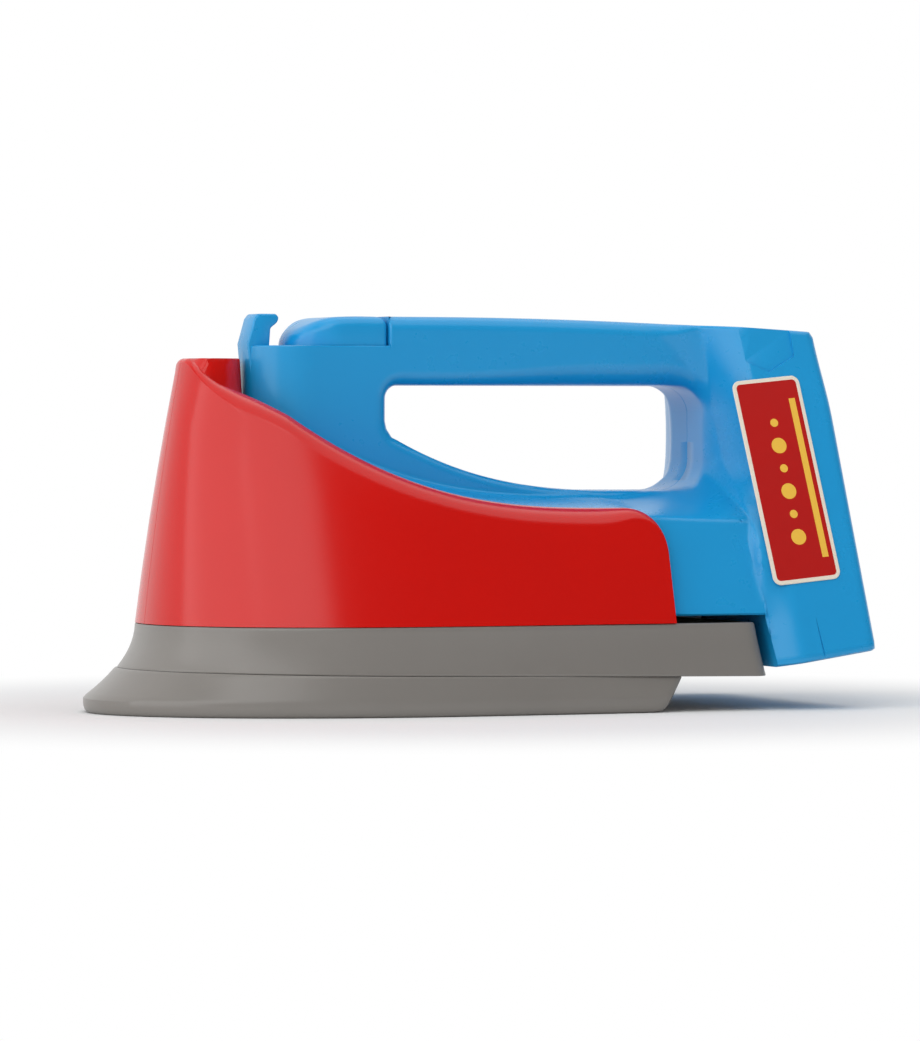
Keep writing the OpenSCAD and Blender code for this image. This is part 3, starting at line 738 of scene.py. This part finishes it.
def handle_lines():
    """Lines from the hand opening out to the handle's outside edge.

    Each stretch of the outside edge faces one of the opening, with so many lines between them.
    """
    top = [on(top_line, x) for x in np.linspace(LEDGE_END, TOP_END, 60)]
    over_corner, floor_mid, floor_turn = (76.0, OPEN_TOP), (140.0, FLOOR_LOW), 124.0
    sill_in = OPEN_FRONT + 2.2
    heel_edge = [(float(heel_back(z)), z) for z in np.linspace(87.4, HEEL_CORNER + 0.6, 20)]
    heel_corner = (float(heel_back(HEEL_CORNER)), float(heel_foot(LENGTH)))
    body_back = [(WALL_FRONT, WALL_FOOT), (WALL_FRONT, 36.0), (130.2, 41.5), (126.5, 45.2),
                 (SADDLE_END, SWOOP_LOW - 0.4)]
    stretches = [
        ([(BLOCK_FRONT, BLOCK_FOOT), (BLOCK_FRONT, LEDGE)], OPEN_LEFT, 20),
        ([(BLOCK_FRONT, LEDGE), (LEDGE_END, LEDGE)], CORNER_TL, 30),
        ([(LEDGE_END, LEDGE), (LEDGE_END, HANDLE_TOP)], [CORNER_TL[-1], over_corner], 8),
        (top[:44], [over_corner, CORNER_TR[0]], 62),
        (top[43:], CORNER_TR, 34),
        ([top[-1]] + heel_edge + [heel_corner], [CORNER_TR[-1]] + OPEN_RIGHT, 44),
        ([on(heel_foot, LENGTH), on(heel_foot, 156.0)], CORNER_BR[:6], 22),
        ([on(heel_foot, 156.0), (WALL_BACK, WALL_FOOT)], CORNER_BR[5:8], 12),
        ([(WALL_BACK, WALL_FOOT), (WALL_FRONT, WALL_FOOT)], CORNER_BR[7:] + [floor_mid], 24),
        (body_back, [floor_mid, on(opening_floor, floor_turn)], 22),
        ([on(saddle_line, x) for x in np.linspace(SADDLE_END, SADDLE_START, 40)],
         [on(opening_floor, x) for x in np.linspace(floor_turn, sill_in, 40)], 64),
        ([on(saddle_line, SADDLE_START), (BLOCK_FRONT, BLOCK_FOOT)],
         [on(opening_floor, sill_in), OPEN_LEFT[0]], 6),
    ]
    # the last stretches are tucked in behind the body's back edge and under the saddle's edge
    behind_body, under_saddle, free = (-2.4, 0, 2.6), (0, -2.2, 0.1), (0, 0, 0)
    outer, inner, tuck = [], [], []
    for k, (out, ins, count) in enumerate(stretches):
        outer += spread_points(out, count)
        inner += spread_points(ins, count)
        tuck += [behind_body if k == 9 else under_saddle if k > 9 else free] * count
    return np.array(outer), np.array(inner), tuck


def soft_max(a, b, k):
    return (a + b + np.sqrt((a - b) ** 2 + k * k)) / 2


def rim(w, depth, r):
    """Rounds an edge: w falls away over the last r before the edge."""
    d = np.clip(depth, 0, r)
    return w - r + np.sqrt(np.maximum(0, r * r - (r - d) ** 2))


def side_face(x, z):
    """Half width of the handle's side at a place in side view."""
    grip = block_half(x)
    hh = heel_half(z)
    # the back leg widens from its crease to the valley, and the heel rises from there
    xc, xv, wv = crease_x(z), valley_x(z), valley_half(z)
    v = np.clip((x - xc) / (xv - xc), 0, 1)
    leg = grip + (wv - GRIP_HALF) * v**1.25
    u = np.clip((x - xv) / (heel_front(z) + 5 - xv), 0, 1)
    heel = wv + (hh - wv) * (1 - (1 - u) ** 1.35)
    out = np.where(x > xv, heel, leg)
    # the low wall behind the body, with the scoop above it
    wall = hh - 3.0
    top = knots(x, [118, 131, 140, 146, 150, 158], [49.6, 50.2, 52.0, 54.5, 57.0, 60.0])
    low = knots(x, [118, 131, 140, 150, 158], [45.2, 44.8, 44.4, 44.0, 44.0])
    s = np.clip((top - z) / (top - low), 0, 1)
    s = s**1.7 / (s**1.7 + (1 - s) ** 1.2 + 1e-9)
    scoop = np.where(z < top, grip + (wall - grip) * s, 0)
    scooped = grip + (soft_max(out, scoop, 0.8) - grip) * ease((x - TURN_START) / 12)
    out = np.where((x > TURN_START) & (x <= xv), np.maximum(out, scooped), out)
    # concave foot of the strip under the opening, spreading to the saddle's edge
    edge = np.array([saddle_half(q) for q in np.atleast_1d(x)]).reshape(x.shape)
    t = np.clip((swoop(x) + 3.4 - z) / 3.4, 0, 1)
    foot = grip + np.maximum(0, edge - grip) * t**3
    near = ease((128 - x) / 8)
    return out + (np.maximum(foot, out) - out) * near


def rounded_side(x, z, inner):
    """The side with its edges rounded, at the hand opening and all round the outside."""
    w = side_face(x, z)
    gap = np.sqrt(((x[:, None] - inner[None, :, 0]) ** 2 + (z[:, None] - inner[None, :, 1]) ** 2).min(1))
    round_in = 3.2 + 2.2 * ease((x - 84) / 40) * ease((z - 62) / 10) - 1.0 * ease((66 - z) / 8)
    round_in = round_in + (3.8 - round_in) * ease((x - 141) / 7)
    w = rim(w, gap, round_in)
    top = np.where(x > LEDGE_END, top_line(x) - z, LEDGE - z)
    w = rim(w, top, np.where(x > LEDGE_END, 3.2 - 2.3 * ease((x - 140) / 8), 0.3))
    far = 9  # beyond every rim, so nothing is rounded there
    w = rim(w, np.where(z > LEDGE, x - LEDGE_END, far), 0.7)
    w = rim(w, heel_back(z) - x, 2.6)
    w = rim(w, np.where(x > WALL_BACK, z - heel_foot(x), far), 1.4)
    w = rim(w, np.where(x <= WALL_BACK, z - WALL_FOOT, far), 0.6)
    return np.maximum(w, 0)


def parting(line, end, other, tuck):
    """The edge where the two halves meet, set in a little so that the seam shows."""
    xs, zs, _ = line
    x, z = xs[end], zs[end]
    away = math.hypot(xs[other] - x, zs[other] - z)
    return (x + (xs[other] - x) / away * SEAM + tuck[0], 0.0, z + (zs[other] - z) / away * SEAM + tuck[1])


def make_handle(name):
    """The left half: rings of points on all the lines, from the hand opening out."""
    rows = 66
    outer, inner, tuck = handle_lines()
    shares = []
    s = np.linspace(0, 1, 500) ** 0.9
    for o, i in zip(outer, inner):
        x = i[0] + (o[0] - i[0]) * s
        z = i[1] + (o[1] - i[1]) * s
        w = rounded_side(x, z, inner)
        d = np.concatenate([[0], np.cumsum(np.sqrt(np.diff(x) ** 2 + np.diff(z) ** 2 + np.diff(w) ** 2))])
        shares.append(np.interp(np.linspace(0, d[-1], rows), d, s))
    # each line takes the mean spacing of its neighbours, so that the rows run smoothly
    even = sum(np.roll(shares, k, axis=0) for k in range(-3, 4)) / 7
    lines = []
    for o, i, share in zip(outer, inner, even):
        x = i[0] + (o[0] - i[0]) * share
        z = i[1] + (o[1] - i[1]) * share
        lines.append((x, z, rounded_side(x, z, inner)))
    # the wall of the hand opening, out from the middle, then the side
    rings = [[parting(ln, 0, -1, (0, 0, 0)) for ln in lines]]
    rings += [[(ln[0][0], -max(SEAM, ln[2][0] * f), ln[1][0]) for ln in lines] for f in (0.0, 0.5, 0.94)]
    rings += [[(ln[0][k], -max(0.05, ln[2][k]), ln[1][k]) for ln in lines] for k in range(rows)]
    # the outside edge, back to the middle; where the body covers it, it is tucked in first
    for f in (0.94, 0.5, 0.0):
        ring = []
        for (xs, zs, ws), t in zip(lines, tuck):
            share = 1 if t[2] and f > 0.9 else f
            ring.append((xs[-1] + t[0], -max(SEAM, (ws[-1] - t[2]) * share), zs[-1] + t[1]))
        rings.append(ring)
    rings.append([parting(ln, -1, 0, t) for ln, t in zip(lines, tuck)])
    rings.append(rings[0])
    return skin_rings(name, rings, close_first=False, close_last=False)


def heel_mark(name, view, depth):
    """A shallow cut in the left face of the heel, drawn in side view."""
    inner = [(x, -(float(heel_half(z)) - depth), z) for x, z in view]
    outside = [(x, -(float(heel_half(z)) + 2), z) for x, z in view]
    return skin_rings(name, [inner, outside])


def cap_plan(grow):
    """The thumb button seen from above: its front round like the block's, its back square."""
    centre, r = CAP_FRONT + CAP_HALF, CAP_HALF + grow
    corner = max(0.15, 1.2 + grow)
    back = CAP_BACK + grow
    turns = np.linspace(0, math.pi / 2, 6)
    plan = [(centre + r * math.cos(a), r * math.sin(a))
            for a in np.linspace(math.pi / 2, 3 * math.pi / 2, 41)]
    plan += [(x, -r) for x in np.linspace(centre, back - corner, 7)[1:-1]]
    plan += [(back - corner + corner * math.sin(a), -r + corner - corner * math.cos(a)) for a in turns]
    plan += [(back, y) for y in np.linspace(-r + corner, r - corner, 13)[1:-1]]
    plan += [(back - corner + corner * math.cos(a), r - corner + corner * math.sin(a)) for a in turns]
    return plan + [(x, r) for x in np.linspace(back - corner, centre, 7)[1:-1]]


TOP_FRONT = float(heel_front(HANDLE_TOP))
shield = [(TOP_FRONT + 2.0, 93.8), (TOP_FRONT + 3.2, 82.3), (TOP_FRONT + 10.6, 79.0),
          (TOP_FRONT + 17.5, 82.8), (TOP_FRONT + 16.8, 93.8)]
foot_crease = [(167.1, 8.2), (167.7, 8.2), (165.6, 22.2)]

handle_left = make_handle("handle_shell_left")
well = [[(x, y, z) for x, y in cap_plan(0.22)] for z in (CAP_FOOT - 1.8, 96)]
cut(handle_left, skin_rings("button_well", well))
cut(handle_left, heel_mark("shield_recess", shield, 0.5))
cut(handle_left, heel_mark("foot_crease", foot_crease, 0.25))
handle_right = mirror_copy(handle_left, "handle_shell_right")
for x, z in ((55, 68.5), (167, 67.8), (167, 31.8), (141.5, 32.5)):
    bore(handle_right, x, 36, z, 60, across=True)
for piece, node in ((handle_left, "handle_left"), (handle_right, "handle_right")):
    clean_skin(piece)
    smooth(piece, 38)
    give(piece, blue_plastic)
    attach(piece, "iron")
    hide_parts(node)

hook_view = [(39.5, 73.5), (38.35, 85.4), (40.0, 91.2), (40.9, 92.4), (45.4, 92.4),
             (46.1, 91.5), (45.6, 90.3), (44.0, 89.1), (43.6, 83.5), (43.6, 73.5)]
hook = prism("front_hook", hook_view, -4, 4)
round_edges(hook, 0.5, 4, 25)
smooth(hook, 40)
give(hook, blue_plastic)
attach(hook, "iron")


# ---- thumb button ----------------------------------------------------------
def cap_top(x):
    return float(knots(x, [47, 48.5, 50, 54, 57, 60, 70], [87.4, 87.9, 88.7, 90.8, 91.55, 91.75, 91.75]))


def cap_ring(inset, low):
    """One ring of the button, inset from its side and so low under its top."""
    return [(x, y, cap_top(x) - low) for x, y in cap_plan(-inset)]


SIDE_FOOT = CAP_FOOT + 0.3
rings = [[(x, y, CAP_FOOT) for x, y in cap_plan(-0.3)], [(x, y, SIDE_FOOT) for x, y in cap_plan(0)]]
rings += [[(x, y, z + (SIDE_FOOT - z) * 0.5) for x, y, z in cap_ring(0, CAP_ROUND)]]
rings += [cap_ring(CAP_ROUND * (1 - math.cos(t)), CAP_ROUND * (1 - math.sin(t)))
          for t in np.linspace(0, math.pi / 2, 9)]
rings += [cap_ring(inset, 0) for inset in (4.0, 5.6, 7.2, 8.8, 10.0)]
button = skin_rings("thumb_button_cap", rings)
smooth(button, 40)
give(button, blue_plastic)
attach(button, "button")
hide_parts("thumb_button")

for part in ("handle_screws", "body_screw", "sole_screws"):
    give(nodes[part], screw_steel)
give(nodes["button_spring"], spring_steel)


# ---- sticker on the heel ---------------------------------------------------
LEAN = math.radians(5.8)
TILT = math.atan(HEEL_DRAW_IN / HEEL_RISE)
STICKER_U = Vector((math.cos(LEAN), math.sin(LEAN) * math.sin(TILT), math.sin(LEAN) * math.cos(TILT)))
STICKER_V = Vector((-math.sin(LEAN), math.cos(LEAN) * math.sin(TILT), math.cos(LEAN) * math.cos(TILT)))
STICKER_N = Vector((0, -math.cos(TILT), math.sin(TILT)))
STICKER_AT = Vector((float(heel_front(53)) + 8.4, -float(heel_half(53.6)), 53.6))
STICKER_HALF = 8.7
STICKER_TALL = 25


def sticker_ring(inset, height):
    r = 2.0 - inset * 0.6
    w, h = STICKER_HALF - inset - r, STICKER_TALL - inset - r
    ring = []
    for cx, cy, start in ((w, h, 0), (-w, h, 90), (-w, -h, 180), (w, -h, 270)):
        for u, v in arc(cx, cy, r, start, start + 90, 9):
            ring.append(tuple(STICKER_AT + STICKER_U * u + STICKER_V * v + STICKER_N * height))
    return ring


sticker = skin_rings("heel_label", [sticker_ring(inset, height) for inset, height in
                                    ((0, 0.02), (0, 0.2), (0.1, 0.28), (0.4, 0.3))])
smooth(sticker, 30)
give(sticker, sticker_print())
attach(sticker, "iron")
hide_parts("heel_sticker")


# ---- stage -----------------------------------------------------------------
deselect_all()
bpy.ops.mesh.primitive_plane_add(size=6, location=(0, 0, 0))
floor = name_piece("studio_floor")
pale = bpy.data.materials.new("pale_floor")
pale.use_nodes = True
tree = pale.node_tree
fn, fl = tree.nodes, tree.links
fn["Principled BSDF"].inputs["Base Color"].default_value = (0.84, 0.84, 0.84, 1)
fn["Principled BSDF"].inputs["Roughness"].default_value = 0.8
# away from the iron the floor runs into the white background
spot = fn.new("ShaderNodeTexCoord")
reach = fn.new("ShaderNodeVectorMath")
reach.operation = "LENGTH"
fl.new(spot.outputs["Object"], reach.inputs[0])
fade = fn.new("ShaderNodeMapRange")
fade.interpolation_type = "SMOOTHSTEP"
fade.inputs["From Min"].default_value = 0.095
fade.inputs["From Max"].default_value = 0.21
fl.new(reach.outputs["Value"], fade.inputs["Value"])
ray = fn.new("ShaderNodeLightPath")
seen = maths(tree, "MAXIMUM", ray.outputs["Is Camera Ray"], ray.outputs["Is Glossy Ray"])
bright = fn.new("ShaderNodeEmission")
bright.inputs["Strength"].default_value = 1
run_in = fn.new("ShaderNodeMixShader")
fl.new(maths(tree, "MULTIPLY", fade.outputs["Result"], seen), run_in.inputs["Fac"])
fl.new(fn["Principled BSDF"].outputs[0], run_in.inputs[1])
fl.new(bright.outputs[0], run_in.inputs[2])
fl.new(run_in.outputs[0], fn["Material Output"].inputs["Surface"])
floor.data.materials.append(pale)

world = bpy.data.worlds.new("studio_light")
bpy.context.scene.world = world
world.use_nodes = True
tree = world.node_tree
wn, wl = tree.nodes, tree.links
ground = wn["Background"]
ground.inputs["Color"].default_value = (0.97, 0.98, 1.0, 1)
ground.inputs["Strength"].default_value = 0.42
white = wn.new("ShaderNodeBackground")
white.inputs["Color"].default_value = (1, 1, 1, 1)
white.inputs["Strength"].default_value = 1
path = wn.new("ShaderNodeLightPath")
# what mirrors the room sees it white behind and above the iron, and dim on the photographer's side
room = wn.new("ShaderNodeBackground")
room.inputs["Strength"].default_value = 1
way = wn.new("ShaderNodeTexCoord")
part_way = wn.new("ShaderNodeSeparateXYZ")
wl.new(way.outputs["Generated"], part_way.inputs[0])
side = wn.new("ShaderNodeMapRange")
side.interpolation_type = "SMOOTHSTEP"
side.inputs["From Min"].default_value = -0.1
side.inputs["From Max"].default_value = 0.45
side.inputs["To Min"].default_value = 0.06
side.inputs["To Max"].default_value = 1.0
wl.new(part_way.outputs["Y"], side.inputs["Value"])
wl.new(side.outputs["Result"], room.inputs["Color"])
mirrored = maths(tree, "MAXIMUM", path.outputs["Is Glossy Ray"], path.outputs["Is Transmission Ray"])
pick_room = wn.new("ShaderNodeMixShader")
wl.new(mirrored, pick_room.inputs["Fac"])
wl.new(ground.outputs[0], pick_room.inputs[1])
wl.new(room.outputs[0], pick_room.inputs[2])
pick_world = wn.new("ShaderNodeMixShader")
wl.new(path.outputs["Is Camera Ray"], pick_world.inputs["Fac"])
wl.new(pick_room.outputs[0], pick_world.inputs[1])
wl.new(white.outputs[0], pick_world.inputs[2])
wl.new(pick_world.outputs[0], wn["World Output"].inputs["Surface"])


def aimed(place, aim):
    return (Vector(aim) - Vector(place)).to_track_quat("-Z", "Y").to_euler()


def softbox(name, place, width, height, power):
    """A rectangular lamp that looks at the iron."""
    deselect_all()
    bpy.ops.object.light_add(type="AREA", location=place)
    lamp = bpy.context.object
    lamp.name = name
    lamp.data.shape = "RECTANGLE"
    lamp.data.size = width
    lamp.data.size_y = height
    lamp.data.energy = power
    lamp.rotation_euler = aimed(place, (0, 0, 0.04))


softbox("left_softbox", (-1.6, -0.25, 0.6), 1.7, 1.3, 11.5)
softbox("near_softbox", (-0.9, -1.25, 1.0), 1.05, 1.2, 6.4)
softbox("top_softbox", (0.1, -0.2, 1.05), 1.5, 1.3, 6.4)

deselect_all()
EYE = (-0.5025, -1.330, 0.0683)
bpy.ops.object.camera_add(location=EYE)
camera = bpy.context.object
camera.name = "photo_camera"
camera.rotation_euler = aimed(EYE, (0.002, 0, 0.044))
camera.data.sensor_fit = "HORIZONTAL"
camera.data.sensor_width = 36
camera.data.lens = 236
camera.data.clip_end = 20
bpy.context.scene.camera = camera
bpy.context.scene.view_settings.view_transform = "Standard"
